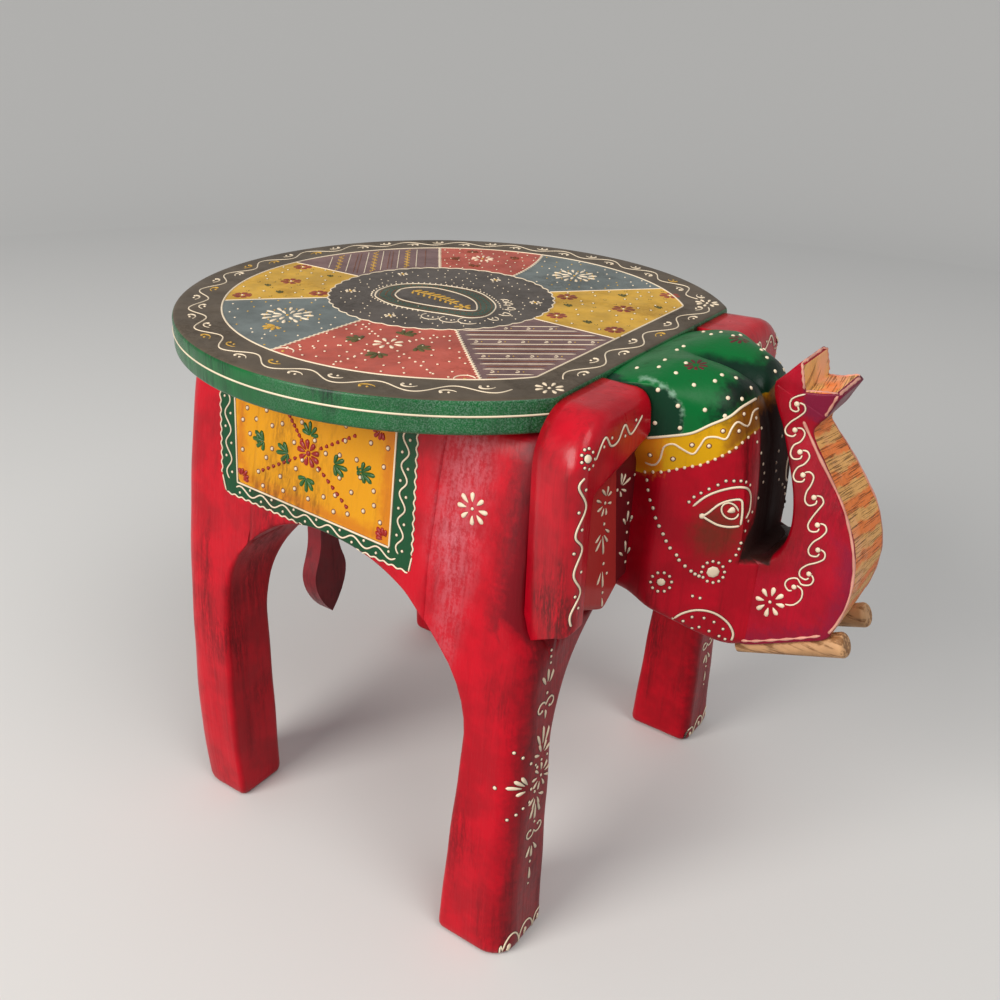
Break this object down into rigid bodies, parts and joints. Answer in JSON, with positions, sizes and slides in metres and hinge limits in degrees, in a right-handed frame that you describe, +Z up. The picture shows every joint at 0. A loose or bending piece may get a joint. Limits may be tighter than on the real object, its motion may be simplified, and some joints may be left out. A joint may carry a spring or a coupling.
{
  "type": "elephant stool",
  "caption": "Low round seat board on a carved and painted wooden elephant whose legs stand on the floor, with ears and head at the straight edge of the seat.",
  "frame": {"origin": "on the floor, under the middle of the whole stool", "axes": "+X towards the elephant's head, +Y to its left, +Z up"},
  "size_m": [0.3946, 0.3, 0.3145],
  "materials": {
    "red_paint": "glossy crimson paint with dark rub",
    "seat_paint": "satin painted panels with cream relief lines",
    "bare_wood": "unpainted waxed wood",
    "dowel_wood": "plain turned hardwood",
    "screw_steel": "zinc plated",
    "relief_cream": "raised cream paste lines and dots"
  },
  "bodies": {
    "root": {"seat_board": "seat_paint", "haunch_block": "red_paint", "belly_block": "red_paint", "shoulder_block": "red_paint", "head_block": "red_paint", "trunk_block": "red_paint", "ear_right": "red_paint", "ear_left": "red_paint", "tusk_right": "bare_wood", "tusk_left": "bare_wood", "tail": "red_paint", "seat_screws": "screw_steel", "seat_plugs": "seat_paint", "haunch_dowels": "dowel_wood", "shoulder_dowels": "dowel_wood", "head_dowels": "dowel_wood", "trunk_dowels": "dowel_wood", "ear_right_dowels": "dowel_wood", "ear_left_dowels": "dowel_wood", "tusk_pins": "dowel_wood", "tail_nails": "screw_steel"}
  },
  "joints": []
}
